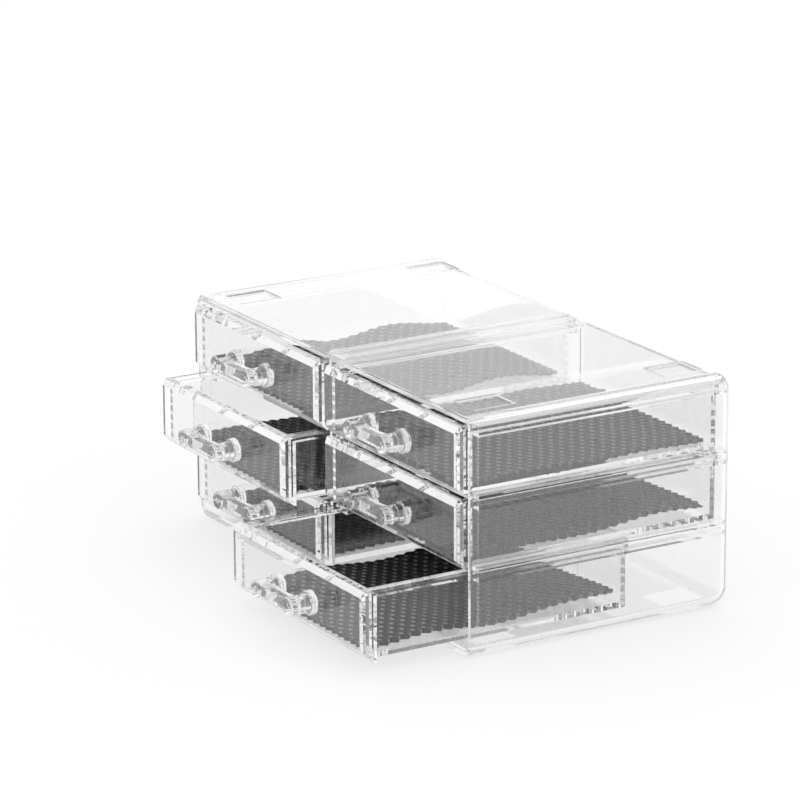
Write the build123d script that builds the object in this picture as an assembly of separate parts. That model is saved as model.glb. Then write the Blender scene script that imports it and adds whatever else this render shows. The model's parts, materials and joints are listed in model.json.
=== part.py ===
"""Clear moulded jewellery organiser with six lined drawers.

Millimetres. X runs to the right, Y runs to the back and Z runs up.
The origin is the middle of the case's footprint, on the surface that it stands on.
"""
import os
from math import cos, pi

from build123d import *

os.makedirs("parts", exist_ok=True)

# Case: one thin-walled moulding, open at the front
case_width = 240.0
case_depth = 135.4
case_height = 107.3
side_wall = 2.3
back_wall = 2.2
top_wall = 2.4
floor_wall = 2.6
long_edge_radius = 5.0
back_edge_radius = 8.0
front_rebate_depth = 4.5
front_lip = 2.0
header_depth = 9.0
header_thickness = 2.8
sill_thickness = 3.3
mouth_radius = 1.5

# Stacking feet under the floor and the matching pockets in the top
foot_height = 1.0
foot_inset_x = 10.6
foot_inset_y = 8.5
foot_size_x = 16.5
foot_size_y = 21.0
pocket_depth = 1.0
pocket_clearance = 0.5

# Centre divider, a plate pushed in from the front between two grooves
divider_thickness = 2.2
divider_groove = 0.8
divider_clearance = 0.1
divider_inset = 1.5

# Drawer fronts: thick plates with bevelled edges
front_gap_above = 2.3
front_tier_gap = 1.3
front_middle_gap = 2.0
front_thickness = 6.2
front_bevel = 2.3
front_bottom_bevel = 5.0
front_side_gap = 0.5
front_standing_in = 1.9
front_gap_below = 2.7

# Drawer trays behind the fronts
tray_wall = 2.4
tray_rear_wall = 2.4
tray_floor = 2.2
tray_rise = 0.4
tray_back_gap = 1.4
tray_corner_radius = 1.5

# Flanges along the top of each tray, and the channels that carry them
flange_thickness = 2.0
flange_side_gap = 0.6
flange_reach = 5.0
flange_end_radius = 6.0
runner_gap = 0.2
lip_gap = 0.4
ledge_height = 2.0
lip_height = 1.8
channel_tray_gap = 0.7
channel_start = 0.5

# Handles: two round posts with collars, joined by a bridge, on pegs
handle_spacing = 27.4
post_diameter = 8.6
post_length = 12.8
collar_diameter = 11.0
collar_length = 3.0
bridge_height = 5.0
bridge_front_inset = 0.8
bridge_length = 7.8
bridge_hollow = 2.2
peg_diameter = 3.0
peg_clearance = 0.05
peg_end_gap = 0.3
small_edge = 0.5

# Liners: soft knitted pads lying on the tray floors
liner_thickness = 2.2
liner_side_gap = 1.2
liner_end_gap = 2.0
liner_seat_gap = 0.3
low_wave = 0.8
middle_wave = 2.0
high_wave = 3.2
liner_waves = 2.0
liner_steps = 12

# How far two of the drawers stand open at rest
middle_left_open = 17.5
bottom_right_open = 47.0

# Tier counted from the bottom, side of the divider, opening at rest and height of the liner's waves
drawers = {
    "top_left": (2, -1, 0, high_wave),
    "top_right": (2, 1, 0, low_wave),
    "middle_left": (1, -1, middle_left_open, low_wave),
    "middle_right": (1, 1, 0, low_wave),
    "bottom_left": (0, -1, 0, low_wave),
    "bottom_right": (0, 1, bottom_right_open, middle_wave),
}
tiers = 3

# Places worked out from the sizes above
front_y = -case_depth / 2
back_y = case_depth / 2
shell_bottom = foot_height
shell_top = shell_bottom + case_height
floor_top = shell_bottom + floor_wall
ceiling = shell_top - top_wall
inner_side = case_width / 2 - side_wall
inner_back = back_y - back_wall
front_width = case_width / 2 - front_lip - front_side_gap - front_middle_gap
column_x = front_middle_gap + front_width / 2
lowest_front = shell_bottom + sill_thickness + front_gap_below
highest_front = shell_top - header_thickness - front_gap_above
tier_pitch = (highest_front - lowest_front + front_tier_gap) / tiers
front_height = tier_pitch - front_tier_gap
front_face_y = front_y + front_standing_in - front_thickness
tray_start_y = front_y + front_standing_in
tray_end_y = inner_back - tray_back_gap
flange_outer = inner_side - flange_side_gap - column_x
tray_half = flange_outer - flange_reach
tray_inner_half = tray_half - tray_wall
channel_y = front_y + front_rebate_depth + channel_start


def front_bottom(tier):
    """Height of the lower rear edge of the drawer fronts in one tier."""
    return lowest_front + tier * tier_pitch


def rim_height(tier):
    """Height of the tray rims, level with the top of the fronts."""
    return front_bottom(tier) + front_height


def block(x0, x1, y0, y1, z0, z1):
    """A box given by its two limits along each axis."""
    box = Box(x1 - x0, y1 - y0, z1 - z0)
    return Pos((x0 + x1) / 2, (y0 + y1) / 2, (z0 + z1) / 2) * box


def rounded_shell(half_width, y0, y1, z0, z1, long_radius, rear_radius):
    """A box with round upper and lower rear edges, and smaller rounds around its two sides."""
    box = block(-half_width, half_width, y0, y1, z0, z1)
    box = fillet(box.edges().filter_by(Axis.X).sort_by(Axis.Y)[-2:], rear_radius)
    rounded = []
    for side in (0, -1):
        edges = box.faces().sort_by(Axis.X)[side].edges()
        front = edges.filter_by(Axis.Z).sort_by(Axis.Y)[0]
        rounded += [edge for edge in edges if edge != front]
    return fillet(rounded, long_radius)


def corner_pads(size_x, size_y, z0, z1):
    """Four equal pads, one near each corner of the footprint."""
    centre_x = case_width / 2 - foot_inset_x - foot_size_x / 2
    centre_y = case_depth / 2 - foot_inset_y - foot_size_y / 2
    pads = []
    for sign_x in (-1, 1):
        for sign_y in (-1, 1):
            x = sign_x * centre_x
            y = sign_y * centre_y
            pads.append(block(x - size_x / 2, x + size_x / 2, y - size_y / 2, y + size_y / 2, z0, z1))
    return pads


def channel(tier, x_root, x_tip, y_end):
    """The ledge under a flange and the lip over it, from a wall to near the tray."""
    rim = rim_height(tier)
    ledge_top = rim - flange_thickness - runner_gap
    lip_bottom = rim + lip_gap
    x0 = min(x_root, x_tip)
    x1 = max(x_root, x_tip)
    ledge = block(x0, x1, channel_y, y_end, ledge_top - ledge_height, ledge_top)
    lip = block(x0, x1, channel_y, y_end, lip_bottom, lip_bottom + lip_height)
    return [ledge, lip]


def divider_tongue(y0, clearance):
    """The straight part of the middle plate that slides into the grooves in floor and ceiling."""
    half = divider_thickness / 2 + divider_clearance - clearance
    y1 = inner_back - back_edge_radius - clearance
    return block(
        -half, half, y0, y1,
        floor_top - divider_groove + clearance, ceiling + divider_groove - clearance)


def make_case():
    """The outer moulding with its rebate, channels, pockets, feet and grooves."""
    outer = rounded_shell(
        case_width / 2, front_y, back_y, shell_bottom, shell_top,
        long_edge_radius, back_edge_radius)
    header_y = front_y + header_depth
    sill_top = shell_bottom + sill_thickness
    header_bottom = shell_top - header_thickness
    inner = rounded_shell(
        inner_side, header_y, inner_back, floor_top, ceiling,
        long_edge_radius - side_wall, back_edge_radius - back_wall)
    mouth = block(-inner_side, inner_side, front_y, header_y + back_edge_radius, sill_top, header_bottom)
    mouth = fillet(mouth.edges().filter_by(Axis.Y), mouth_radius)
    rebate = block(
        -case_width / 2 + front_lip, case_width / 2 - front_lip,
        front_y, front_y + front_rebate_depth,
        sill_top + mouth_radius, header_bottom - mouth_radius)
    mid_wall = rounded_shell(
        inner_side + side_wall / 2, front_y, inner_back + back_wall / 2,
        floor_top - floor_wall / 2, ceiling + top_wall / 2,
        long_edge_radius - side_wall / 2, back_edge_radius - back_wall / 2)
    case = outer - inner - mouth - rebate
    tip = column_x + tray_half + channel_tray_gap
    for tier in range(tiers):
        for side in (-1, 1):
            for rail in channel(tier, side * case_width / 2, side * tip, back_y):
                case += rail & mid_wall
    for pocket in corner_pads(foot_size_x, foot_size_y, shell_top - pocket_depth, shell_top):
        case -= pocket
    foot_x = foot_size_x - 2 * pocket_clearance
    foot_y = foot_size_y - 2 * pocket_clearance
    for foot in corner_pads(foot_x, foot_y, 0, shell_bottom + floor_wall / 2):
        case += foot
    return case - divider_tongue(front_y, 0)


def make_divider():
    """The middle plate with channels on both faces."""
    gap = divider_clearance
    plate = divider_tongue(front_y + divider_inset, gap)
    behind = rounded_shell(
        inner_side, front_y + header_depth, inner_back - gap, floor_top + gap, ceiling - gap,
        long_edge_radius - side_wall, back_edge_radius - back_wall)
    half = divider_thickness / 2
    plate += behind & block(-half, half, back_y - 3 * back_edge_radius, back_y, shell_bottom, shell_top)
    inner_tip = column_x - tray_half - channel_tray_gap
    rear = inner_back - back_edge_radius + back_wall
    for tier in range(tiers):
        for side in (-1, 1):
            for rail in channel(tier, 0, side * inner_tip, rear):
                plate += rail
    return plate


def front_plate(bottom):
    """A thick front plate, bevelled at the top, the sides and, deeper, below."""
    top = bottom + front_height
    y0 = front_face_y
    y1 = front_face_y + front_thickness
    section = Polyline(
        (0, y0, bottom + front_bottom_bevel), (0, y0, top - front_bevel), (0, y0 + front_bevel, top),
        (0, y1, top), (0, y1, bottom), (0, y0 + front_bottom_bevel, bottom), close=True)
    side_view = extrude(make_face(section), amount=front_width / 2, both=True, dir=(1, 0, 0))
    half = front_width / 2
    outline = Polyline(
        (half - front_bevel, y0, 0), (half, y0 + front_bevel, 0), (half, y1, 0), (-half, y1, 0),
        (-half, y0 + front_bevel, 0), (-half + front_bevel, y0, 0), close=True)
    plan_view = extrude(make_face(outline), amount=shell_top, dir=(0, 0, 1))
    return side_view & plan_view


def handle_places(tier):
    """The two post centres of a drawer, as X from its middle and the height."""
    height = front_bottom(tier) + front_height / 2
    return [(-handle_spacing / 2, height), (handle_spacing / 2, height)]


def along_y(diameter, y0, y1, x, z):
    """A cylinder along Y between two places."""
    return Pos(x, (y0 + y1) / 2, z) * Rot(90, 0, 0) * Cylinder(diameter / 2, y1 - y0)


def make_drawer(tier):
    """Front plate, tray and flanges in one moulding, centred on X, closed."""
    bottom = front_bottom(tier)
    rim = rim_height(tier)
    tray_bottom = bottom + tray_rise
    outer = block(-tray_half, tray_half, tray_start_y, tray_end_y, tray_bottom, rim)
    rear_edges = outer.edges().filter_by(Axis.Z).sort_by(Axis.Y)[-2:]
    outer = fillet(rear_edges, tray_corner_radius)
    flange = block(
        -flange_outer, flange_outer, tray_start_y, tray_end_y, rim - flange_thickness, rim)
    flange_corners = flange.edges().filter_by(Axis.Z).sort_by(Axis.Y)[-2:]
    flange = fillet(flange_corners, flange_end_radius)
    cavity = block(
        -tray_inner_half, tray_inner_half, tray_start_y, tray_end_y - tray_rear_wall,
        tray_bottom + tray_floor, rim)
    drawer = front_plate(bottom) + outer + flange - cavity
    for x, z in handle_places(tier):
        hole = peg_diameter + 2 * peg_clearance
        drawer -= along_y(hole, front_face_y - small_edge, tray_start_y - peg_end_gap, x, z)
    return drawer


def make_handle(tier):
    """Two collared posts joined by a bridge, with pegs through the front."""
    places = handle_places(tier)
    z = places[0][1]
    tip_y = front_face_y - post_length
    bridge_y0 = tip_y + bridge_front_inset
    bridge_y1 = bridge_y0 + bridge_length
    half = handle_spacing / 2
    plan = make_face(
        Polyline((-half, bridge_y1, 0), (-half, bridge_y0, 0), (half, bridge_y0, 0), (half, bridge_y1, 0))
        + ThreePointArc((half, bridge_y1, 0), (0, bridge_y1 - bridge_hollow, 0), (-half, bridge_y1, 0)))
    bridge = Pos(0, 0, z - bridge_height / 2) * extrude(plan, amount=bridge_height, dir=(0, 0, 1))
    handle = bridge
    for x, height in places:
        post = along_y(post_diameter, tip_y, front_face_y - small_edge, x, height)
        post = chamfer(post.edges().sort_by(Axis.Y)[0], small_edge)
        collar = along_y(collar_diameter, front_face_y - collar_length, front_face_y, x, height)
        collar = chamfer(collar.edges().sort_by(Axis.Y)[0], small_edge)
        peg = along_y(peg_diameter, front_face_y - small_edge, tray_start_y - 2 * peg_end_gap, x, height)
        handle = handle + post + collar + peg
    return handle


def liner_height(share, rise):
    """Height of the liner over its seat, as waves that die out at the front edge."""
    return rise * (1 - cos(2 * pi * liner_waves * share)) / 2


def make_liner(tier, rise):
    """A wavy pad lying on the tray floor."""
    seat = front_bottom(tier) + tray_rise + tray_floor + liner_seat_gap
    y0 = tray_start_y + liner_end_gap
    y1 = tray_end_y - tray_rear_wall - liner_end_gap
    under = []
    for step in range(liner_steps + 1):
        share = step / liner_steps
        under.append((0, y0 + share * (y1 - y0), seat + liner_height(share, rise)))
    over = [(0, y, z + liner_thickness) for _, y, z in under]
    low = Spline(*under)
    high = Spline(*over)
    ends = Line(under[0], over[0]) + Line(under[-1], over[-1])
    section = make_face(low + high + ends)
    half = tray_inner_half - liner_side_gap
    return extrude(section, amount=half, both=True, dir=(1, 0, 0))


def place(shape, side, opened):
    """Move a closed drawer piece to its column and to where it stands at rest."""
    return Pos(side * column_x, -opened, 0) * shape


export_step(make_case(), "parts/case_shell.step")
export_step(make_divider(), "parts/center_divider.step")
for name, (tier, side, opened, rise) in drawers.items():
    export_step(place(make_drawer(tier), side, opened), f"parts/drawer_{name}.step")
    export_step(place(make_handle(tier), side, opened), f"parts/handle_{name}.step")
    export_step(place(make_liner(tier, rise), side, opened), f"parts/liner_{name}.step")
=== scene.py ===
# %% [markdown]
# # A clear jewellery organiser with six lined drawers
# The object is a moulded, see-through case with two columns of drawers. Everything that carries load or
# slides comes from the CAD model, so this script dresses those solids and makes the knitted liners.

# %% Load the frame
import bpy
import json
import math
import numpy as np
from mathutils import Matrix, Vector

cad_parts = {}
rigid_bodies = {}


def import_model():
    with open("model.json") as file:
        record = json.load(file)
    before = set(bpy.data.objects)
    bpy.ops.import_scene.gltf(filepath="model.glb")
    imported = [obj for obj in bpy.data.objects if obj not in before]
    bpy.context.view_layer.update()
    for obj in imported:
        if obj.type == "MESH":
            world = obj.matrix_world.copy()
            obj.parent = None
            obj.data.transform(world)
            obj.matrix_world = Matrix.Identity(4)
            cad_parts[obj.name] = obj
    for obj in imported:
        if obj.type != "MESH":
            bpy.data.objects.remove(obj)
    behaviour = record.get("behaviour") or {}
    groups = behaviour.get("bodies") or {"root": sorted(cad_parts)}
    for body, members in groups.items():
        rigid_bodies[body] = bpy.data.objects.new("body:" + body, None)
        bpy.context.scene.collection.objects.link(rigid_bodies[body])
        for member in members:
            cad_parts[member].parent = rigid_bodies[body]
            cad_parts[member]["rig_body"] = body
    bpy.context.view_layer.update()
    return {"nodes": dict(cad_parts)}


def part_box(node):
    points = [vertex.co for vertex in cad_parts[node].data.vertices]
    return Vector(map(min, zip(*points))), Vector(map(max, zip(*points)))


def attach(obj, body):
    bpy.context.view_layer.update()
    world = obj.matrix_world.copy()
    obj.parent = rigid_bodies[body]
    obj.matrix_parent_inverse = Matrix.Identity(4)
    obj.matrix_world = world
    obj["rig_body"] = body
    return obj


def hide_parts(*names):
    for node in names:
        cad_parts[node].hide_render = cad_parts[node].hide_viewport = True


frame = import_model()
scene = bpy.context.scene
nodes = sorted(frame["nodes"])

# %% [markdown]
# ## Camera
# The view comes from a pinhole camera fitted to the case's edges: a long lens from the front right and a
# little above. The camera looks along the line from its place to the target, and a small shift puts the
# target where the photograph has it, low and to the right of the middle.

# %% Place the camera
TARGET = np.array([0.0, 0.0073, 0.056])
AZIMUTH, ELEVATION, DISTANCE = 58.10, 17.0, 2.0928
LENS_MM, SENSOR_MM = 207.0, 36.0
SHIFT_X, SHIFT_Y = -0.0890, 0.0498


def direction(azimuth, elevation):
    """Unit vector from the target to the camera: azimuth turns from the front to the right."""
    a, e = math.radians(azimuth), math.radians(elevation)
    return np.array([math.sin(a) * math.cos(e), -math.cos(a) * math.cos(e), math.sin(e)])


camera_data = bpy.data.cameras.new("camera")
camera_data.lens, camera_data.sensor_width = LENS_MM, SENSOR_MM
camera_data.shift_x, camera_data.shift_y = SHIFT_X, SHIFT_Y
camera_data.clip_start, camera_data.clip_end = 0.05, 50.0
camera = bpy.data.objects.new("camera", camera_data)
scene.collection.objects.link(camera)
camera.location = TARGET + DISTANCE * direction(AZIMUTH, ELEVATION)
camera.rotation_euler = (math.radians(90 - ELEVATION), 0, math.radians(AZIMUTH))
scene.camera = camera
print("camera at", [round(v, 3) for v in camera.location])

# %% [markdown]
# ## Materials
# Node trees are easier to read when one small function adds a node, sets its sockets and links its
# inputs. Colours are written as sRGB hex, the way a colour picker shows them, and one function turns them
# to the linear values that the renderer works with.

# %% Helpers for materials
def linear(hexcode):
    """sRGB hex to linear RGBA: each channel is divided by 12.92 when dark, else raised to 2.4."""
    rgb = np.array([int(hexcode[i:i + 2], 16) for i in (1, 3, 5)]) / 255.0
    rgb = np.where(rgb <= 0.04045, rgb / 12.92, ((rgb + 0.055) / 1.055) ** 2.4)
    return (*[float(c) for c in rgb], 1.0)


def add(tree, kind, links=(), **settings):
    """Adds a node. Settings are node properties, or sockets by name; links are (socket, source) pairs."""
    node = tree.nodes.new(kind)
    for key, value in settings.items():
        if hasattr(node, key):
            setattr(node, key, value)
        else:
            node.inputs[key.replace("_", " ")].default_value = value
    for socket, source in links:
        tree.links.new(source, node.inputs[socket])
    return node


def new_material(name):
    """An empty material with its output and a Principled shader, and the tree to add to."""
    material = bpy.data.materials.new(name)
    material.use_nodes = True
    tree = material.node_tree
    tree.nodes.clear()
    shader = tree.nodes.new("ShaderNodeBsdfPrincipled")
    output = tree.nodes.new("ShaderNodeOutputMaterial")
    tree.links.new(shader.outputs["BSDF"], output.inputs["Surface"])
    return material, tree, shader


print("white is", linear("#ffffff"), "and mid grey is", linear("#808080"))

# %% [markdown]
# ### Clear moulded polystyrene
# Cheap crystal-clear organisers are often injection moulded in general-purpose polystyrene, so that is
# what this one is taken to be. It bends light more than window glass or acrylic: its IOR is 1.59. The
# mould is polished, so the faces are mirror smooth, but handling leaves hair-fine rubs and the walls are
# never quite flat. A weak, wide noise gives the flow ripple of the moulding, and a fine, stretched one
# gives the rubs, about 17 mm long and 1 mm wide. The sizes of both are guessed.

# %% Clear plastic material
POLYSTYRENE_IOR = 1.59
RIPPLE_STRENGTH, RUB_ROUGHNESS = 0.002, 0.02
RUB_TILT, RUBS_PER_METRE = (0.3, 0.5, 0.7), (60.0, 900.0, 900.0)


def clear_polystyrene(name, ripple_mm):
    """Transmissive plastic with a mould ripple about ripple_mm wide and rubbed streaks in its roughness."""
    material, tree, shader = new_material(name)
    shader.inputs["Base Color"].default_value = linear("#fefefe")
    shader.inputs["IOR"].default_value = POLYSTYRENE_IOR
    shader.inputs["Transmission Weight"].default_value = 1.0
    place = add(tree, "ShaderNodeTexCoord")
    wide = add(tree, "ShaderNodeTexNoise", [("Vector", place.outputs["Object"])],
               Scale=1000 / ripple_mm, Detail=1.0)
    streak_map = add(tree, "ShaderNodeMapping", [("Vector", place.outputs["Object"])],
                     Rotation=RUB_TILT, Scale=RUBS_PER_METRE)
    streaks = add(tree, "ShaderNodeTexNoise", [("Vector", streak_map.outputs["Vector"])],
                  Scale=1.0, Detail=3.0)
    rubbed = add(tree, "ShaderNodeMapRange", [("Value", streaks.outputs["Fac"])],
                 From_Min=0.66, From_Max=0.85, To_Min=0.0, To_Max=RUB_ROUGHNESS)
    tree.links.new(rubbed.outputs["Result"], shader.inputs["Roughness"])
    bump = add(tree, "ShaderNodeBump", [("Height", wide.outputs["Fac"])],
               Strength=RIPPLE_STRENGTH, Distance=0.001)
    tree.links.new(bump.outputs["Normal"], shader.inputs["Normal"])
    return material


# The ripple's width follows the size of the piece, widest on the case
case_plastic = clear_polystyrene("clear_polystyrene_case", ripple_mm=30.0)
drawer_plastic = clear_polystyrene("clear_polystyrene_drawer", ripple_mm=24.0)
handle_plastic = clear_polystyrene("clear_polystyrene_handle", ripple_mm=12.0)
print("made", [m.name for m in (case_plastic, drawer_plastic, handle_plastic)])

# %% [markdown]
# ### Knitted non-slip matting
# The liners look like dark PVC foam on a knitted scrim, as drawer matting often is. One patch of the
# photograph, straightened to plan view, gives the pattern, rounded here to an even lattice: staggered foam
# lozenges, 8.5 mm apart across the mat and 5.4 mm along it. A finer grain between them is guessed. The
# lozenge tops carry a painted highlight, a paler colour standing in for their sheen, so one height value
# drives the colour and the bump.

# %% Matting material
LOZENGE_ACROSS_MM, LOZENGE_ALONG_MM = 8.5, 5.4
GRAIN_SHARE = 0.6
# Near the top of the height range the colour ramps to a painted highlight on the lozenge tops; the pit
# colour is the mat's own dark charcoal
PAINTED_HIGHLIGHT_FROM = 0.74
PIT_COLOUR, PAINTED_HIGHLIGHT_COLOUR = "#232121", "#aaa9a7"


def knitted_pvc(name, shift):
    """Staggered lozenges: cos(2 pi x / across) * cos(2 pi y / along + shift), with x and y in flat mm."""
    material, tree, shader = new_material(name)
    place = add(tree, "ShaderNodeUVMap", uv_map="flat_mm")
    parts = add(tree, "ShaderNodeSeparateXYZ", [("Vector", place.outputs["UV"])])
    waves = []
    for axis, pitch, start in (("X", LOZENGE_ACROSS_MM, 0.0), ("Y", LOZENGE_ALONG_MM, shift)):
        phase = add(tree, "ShaderNodeMath", [(0, parts.outputs[axis])], operation="MULTIPLY_ADD")
        phase.inputs[1].default_value, phase.inputs[2].default_value = 2 * math.pi / pitch, start
        waves.append(add(tree, "ShaderNodeMath", [(0, phase.outputs[0])], operation="COSINE"))
    lozenge = add(tree, "ShaderNodeMath", [(0, waves[0].outputs[0]), (1, waves[1].outputs[0])],
                  operation="MULTIPLY")
    grain = add(tree, "ShaderNodeTexNoise", [("Vector", place.outputs["UV"])], Scale=1.1, Detail=3.0)
    height = add(tree, "ShaderNodeMath", [(0, grain.outputs["Fac"]), (2, lozenge.outputs[0])],
                 operation="MULTIPLY_ADD")
    height.inputs[1].default_value = GRAIN_SHARE
    # The ramp paints a paler highlight onto the lozenge tops
    colour = add(tree, "ShaderNodeValToRGB", [("Fac", height.outputs[0])])
    pit, top = colour.color_ramp.elements
    pit.position, pit.color = PAINTED_HIGHLIGHT_FROM, linear(PIT_COLOUR)
    top.position, top.color = 1.0, linear(PAINTED_HIGHLIGHT_COLOUR)
    tree.links.new(colour.outputs["Color"], shader.inputs["Base Color"])
    shader.inputs["Roughness"].default_value = 0.62
    shader.inputs["IOR"].default_value = 1.5
    bump = add(tree, "ShaderNodeBump", [("Height", height.outputs[0])], Strength=0.9, Distance=0.0005)
    tree.links.new(bump.outputs["Normal"], shader.inputs["Normal"])
    return material


print("lozenges every", LOZENGE_ACROSS_MM, "by", LOZENGE_ALONG_MM, "mm")

# %% [markdown]
# ## Dressing the moulded pieces
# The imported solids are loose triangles, so their rounded corners would show flat facets and their edges
# would be razor sharp. A copy of each one is merged into a single skin, its flat faces are joined, and it
# is given a hair-line bevel of a tenth of a millimetre (a fifth on the handles), because a moulded edge
# is never truly sharp. A larger one would bend the view through the edge.

# %% Copy, merge and bevel a moulded node
import bmesh

BODY_OF = {name: frame["nodes"][name]["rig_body"] for name in nodes}
WELD_DISTANCE = 0.000005
FLAT_ANGLE, SHARP_ANGLE = math.radians(0.5), math.radians(28)
# Handles shrink by this much, so that their skin never lies in the skin of the front behind them
GLUE_GAP = 0.00004


def moulded(node, material, edge_mm):
    """A merged, smooth-shaded copy of a CAD node with a small bevel, riding on the same body."""
    mesh = frame["nodes"][node].data.copy()
    mesh.name = node + "_moulding"
    for layer in [a for a in mesh.attributes if a.name == "custom_normal"]:
        mesh.attributes.remove(layer)
    skin = bmesh.new()
    skin.from_mesh(mesh)
    bmesh.ops.remove_doubles(skin, verts=skin.verts, dist=WELD_DISTANCE)
    bmesh.ops.dissolve_limit(skin, angle_limit=FLAT_ANGLE, verts=skin.verts, edges=skin.edges)
    skin.to_mesh(mesh)
    skin.free()
    mesh.materials.clear()
    mesh.materials.append(material)
    mesh.shade_smooth()
    mesh.set_sharp_from_angle(angle=SHARP_ANGLE)
    piece = bpy.data.objects.new(node + "_moulding", mesh)
    scene.collection.objects.link(piece)
    bevel = piece.modifiers.new("edge_round", "BEVEL")
    bevel.width, bevel.segments = edge_mm / 1000, 1
    bevel.limit_method, bevel.angle_limit = "ANGLE", SHARP_ANGLE
    flat = piece.modifiers.new("flat_faces", "WEIGHTED_NORMAL")
    flat.keep_sharp = True
    if node.startswith("handle_"):
        clear = piece.modifiers.new("glue_gap", "DISPLACE")
        clear.strength, clear.mid_level = -GLUE_GAP, 0.0
    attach(piece, BODY_OF[node])
    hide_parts(node)
    return piece


WALL_EDGE_MM, HANDLE_EDGE_MM = 0.1, 0.2
mouldings = []
for node in nodes:
    if node.startswith("liner_"):
        continue
    if node.startswith("drawer_"):
        finish, slot, edge = drawer_plastic, "clear_drawer", WALL_EDGE_MM
    elif node.startswith("handle_"):
        finish, slot, edge = handle_plastic, "clear_handle", HANDLE_EDGE_MM
    else:
        finish, slot, edge = case_plastic, "clear_case", WALL_EDGE_MM
    piece = moulded(node, finish, edge)
    mouldings.append(piece)
print("dressed", len(mouldings), "moulded pieces")

# %% [markdown]
# ## Liners
# Each liner is a rectangle with rows of small teeth along its edges, as pinking shears leave. It never
# lies quite flat: it has low waves along its length, and some mats have a hump or a curled corner. The mat
# is one grid worked out with numpy, with the teeth as shifts of the outer rows.

# %% Grid surface helper
def grid_object(name, points, uv):
    """Quads over a grid of points (rows, columns, 3), with a UV map of the flat cut in millimetres."""
    rows, columns = points.shape[:2]
    index = np.arange(rows * columns).reshape(rows, columns)
    corners = [index[:-1, :-1], index[:-1, 1:], index[1:, 1:], index[1:, :-1]]
    quads = np.stack(corners, axis=-1).reshape(-1, 4)
    mesh = bpy.data.meshes.new(name)
    mesh.vertices.add(rows * columns)
    mesh.vertices.foreach_set("co", points.reshape(-1).astype(np.float32))
    mesh.loops.add(quads.size)
    mesh.loops.foreach_set("vertex_index", quads.reshape(-1).astype(np.int32))
    mesh.polygons.add(len(quads))
    mesh.polygons.foreach_set("loop_start", np.arange(0, quads.size, 4, dtype=np.int32))
    mesh.update(calc_edges=True)
    layer = mesh.uv_layers.new(name="flat_mm")
    layer.data.foreach_set("uv", uv.reshape(-1, 2)[quads.reshape(-1)].reshape(-1).astype(np.float32))
    mesh.shade_smooth()
    piece = bpy.data.objects.new(name, mesh)
    scene.collection.objects.link(piece)
    return piece


print("grid helper ready")

# %% Pinked, wavy mats
TOOTH_PITCH, TOOTH_DEPTH, MAT_THICKNESS = 0.0053, 0.0022, 0.0018
EDGE_FALL = 12
MAT_LIFT = 0.0002
# The pattern's start shifts with the length of the place's name, so the six mats have four starts
PHASE_STEP = 0.4
COLUMNS, ROWS = 141, 177
WAVES = 2.0
WAVE_RISE = {"top_left": 0.0032, "top_right": 0.0008, "middle_left": 0.0008,
             "middle_right": 0.0008, "bottom_left": 0.0008, "bottom_right": 0.0020}
# Humps as (share of the width, share of the length, spread across, spread along, height)
HUMPS = {"top_right": [(0.0, 0.12, 0.3, 0.2, 0.0035)],
         "middle_right": [(0.0, 0.12, 0.3, 0.2, 0.0035), (1.0, 0.86, 0.5, 0.25, 0.0030)],
         "bottom_right": [(1.0, 1.0, 0.35, 0.22, 0.0035)]}


def zigzag(distance):
    """A tooth line: 0 at the root of each tooth and 1 at its tip, straight between them."""
    return 1 - np.abs(2 * (distance / TOOTH_PITCH % 1.0) - 1)


def mat(place):
    """A pinked rectangle whose height is a cosine wave along it plus humps of exp(-a^2 - b^2)."""
    node = "liner_" + place
    low, high = (np.array(corner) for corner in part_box(node))
    size = high - low
    s, t = np.meshgrid(np.linspace(0, 1, COLUMNS), np.linspace(0, 1, ROWS))
    cut_x = (1 - zigzag(t * size[1])) * TOOTH_DEPTH
    cut_y = (1 - zigzag(s * size[0])) * TOOTH_DEPTH
    x = low[0] + s * size[0] + (1 - 2 * s) * cut_x * np.abs(2 * s - 1) ** EDGE_FALL
    y = low[1] + t * size[1] + (1 - 2 * t) * cut_y * np.abs(2 * t - 1) ** EDGE_FALL
    z = low[2] + MAT_LIFT + WAVE_RISE[place] * (1 - np.cos(2 * math.pi * WAVES * t)) / 2
    for across, along, wide, long, rise in HUMPS.get(place, []):
        z = z + rise * np.exp(-((s - across) / wide) ** 2 - ((t - along) / long) ** 2)
    uv = np.stack([s * size[0], t * size[1]], axis=-1) * 1000
    piece = grid_object("mat_" + place, np.stack([x, y, z], axis=-1), uv)
    solid = piece.modifiers.new("thickness", "SOLIDIFY")
    solid.thickness, solid.offset = MAT_THICKNESS, 1.0
    piece.data.materials.append(knitted_pvc("knitted_pvc_" + place, PHASE_STEP * len(place)))
    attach(piece, BODY_OF[node])
    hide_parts(node)
    return piece


mats = [mat(place) for place in WAVE_RISE]
print("made", len(mats), "liners of", len(mats[0].data.vertices), "points")

# %% [markdown]
# ## Floor, light and world
# Clear plastic shows only what is around it. The photograph has a white sweep behind the object and a
# dimmer room behind the camera, as far as the plastic shows it. The dim side is meant to draw grey lines
# along the edges, and the bright one a veil that the top plate mirrors over the liners. The world does
# this by direction, and the floor is a plain pale sheet that keeps part of the shadow.

# %% Floor
floor_mesh = bpy.data.meshes.new("floor")
FLOOR_HALF = 3.0
signs = [(-1, -1), (1, -1), (1, 1), (-1, 1)]
floor_mesh.from_pydata([(x * FLOOR_HALF, y * FLOOR_HALF, 0) for x, y in signs], [], [(0, 1, 2, 3)])
floor = bpy.data.objects.new("floor", floor_mesh)
scene.collection.objects.link(floor)
SHADOW_KEPT = 0.25


def plastic_rays(tree):
    """The light path, and 1 for its rays that come by reflection or through the plastic, else 0."""
    path = add(tree, "ShaderNodeLightPath")
    kinds = [(0, path.outputs["Is Glossy Ray"]), (1, path.outputs["Is Transmission Ray"])]
    return path, add(tree, "ShaderNodeMath", kinds, operation="MAXIMUM").outputs[0]


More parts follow.
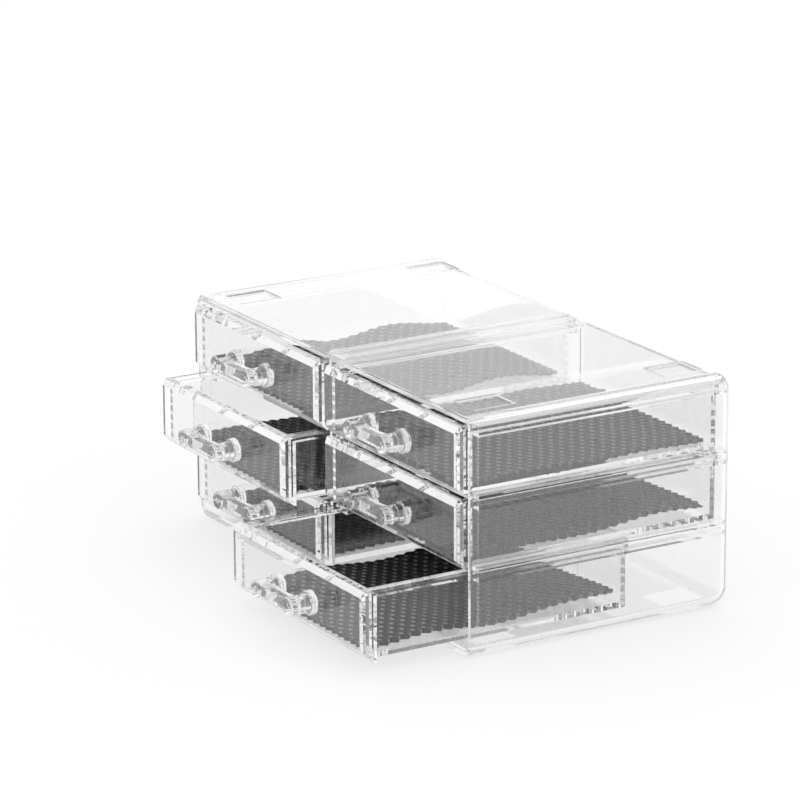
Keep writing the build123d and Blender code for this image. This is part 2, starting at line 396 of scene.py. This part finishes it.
def seen_rays(tree):
    """1 for rays that show something to the eye: straight, by reflection or through the plastic."""
    path, by_plastic = plastic_rays(tree)
    kinds = [(0, path.outputs["Is Camera Ray"]), (1, by_plastic)]
    return add(tree, "ShaderNodeMath", kinds, operation="MAXIMUM").outputs[0]


paper, tree, shader = new_material("white_paper_sweep")
shader.inputs["Base Color"].default_value = linear("#f7f7f7")
shader.inputs["Roughness"].default_value = 0.9
shader.inputs["Specular IOR Level"].default_value = 0.1
glow = add(tree, "ShaderNodeEmission", Color=linear("#ffffff"), Strength=1.0)
share = add(tree, "ShaderNodeMath", [(0, seen_rays(tree))], operation="MULTIPLY")
share.inputs[1].default_value = 1 - SHADOW_KEPT
mixed = add(tree, "ShaderNodeMixShader",
            [(0, share.outputs[0]), (1, shader.outputs[0]), (2, glow.outputs[0])])
tree.links.new(mixed.outputs[0], tree.nodes["Material Output"].inputs["Surface"])
floor_mesh.materials.append(paper)
print("floor", 2 * FLOOR_HALF, "m square")

# %% World: white sweep behind the object, dimmer room behind the camera
world = bpy.data.worlds.new("studio")
scene.world = world
world.use_nodes = True
tree = world.node_tree
tree.nodes.clear()
ROOM_ELEVATION = 25.0
toward_camera = direction(AZIMUTH, ROOM_ELEVATION)
SWEEP, ROOM, DIM_ROOM = 0.4, 0.8, 0.45
look = add(tree, "ShaderNodeTexCoord")
facing = add(tree, "ShaderNodeVectorMath", [(0, look.outputs["Generated"])], operation="DOT_PRODUCT")
facing.inputs[1].default_value = toward_camera
room = add(tree, "ShaderNodeMapRange", [("Value", facing.outputs["Value"])],
           From_Min=-0.4, From_Max=0.6, To_Min=ROOM, To_Max=DIM_ROOM)
sweep = add(tree, "ShaderNodeMapRange", [("Value", facing.outputs["Value"])],
            From_Min=-0.78, From_Max=-0.66, To_Min=SWEEP, To_Max=0.0)
bright = add(tree, "ShaderNodeMath", [(0, room.outputs["Result"]), (1, sweep.outputs["Result"])],
             operation="ADD")
mirrored = add(tree, "ShaderNodeBackground", [("Color", bright.outputs[0])], Strength=1.0)
plain = add(tree, "ShaderNodeBackground", Color=linear("#ffffff"), Strength=1.0)
path, by_plastic = plastic_rays(tree)
both = add(tree, "ShaderNodeMixShader", [(0, by_plastic), (1, plain.outputs[0]), (2, mirrored.outputs[0])])
add(tree, "ShaderNodeOutputWorld", [("Surface", both.outputs[0])])
print("room is dimmest toward", [round(float(v), 2) for v in toward_camera])

# %% Lamps
def soft_lamp(name, place, target, size, watts):
    """A square area lamp at place, turned to face target."""
    data = bpy.data.lights.new(name, "AREA")
    data.size, data.energy = size, watts
    lamp = bpy.data.objects.new(name, data)
    scene.collection.objects.link(lamp)
    offset = np.array(place) - np.array(target)
    flat = math.hypot(offset[0], offset[1])
    lamp.location = place
    lamp.rotation_euler = (math.atan2(flat, offset[2]), 0, math.atan2(offset[0], -offset[1]))


soft_lamp("overhead_softbox", place=(-0.5, 0.3, 1.6), target=(0, 0, 0), size=1.4, watts=4.0)
soft_lamp("side_softbox", place=(1.3, 0.4, 1.0), target=(0, 0, 0.05), size=1.0, watts=2.0)
print("two softboxes")

# %% [markdown]
# ## Colour and render paths
# Light that enters a thick clear edge is mirrored inside it many times before it gets out. A path that runs
# out of bounces there comes back black and darkens the edge, so the paths are allowed 200 of them. The view
# transform is Standard, so a colour comes out as it is written.

# %% Colour and paths
scene.view_settings.view_transform = "Standard"
BOUNCES = 200
scene.cycles.max_bounces = BOUNCES
scene.cycles.transmission_bounces = BOUNCES
scene.cycles.glossy_bounces = BOUNCES
scene.cycles.transparent_max_bounces = BOUNCES
print("up to", scene.cycles.transmission_bounces, "passes through plastic")
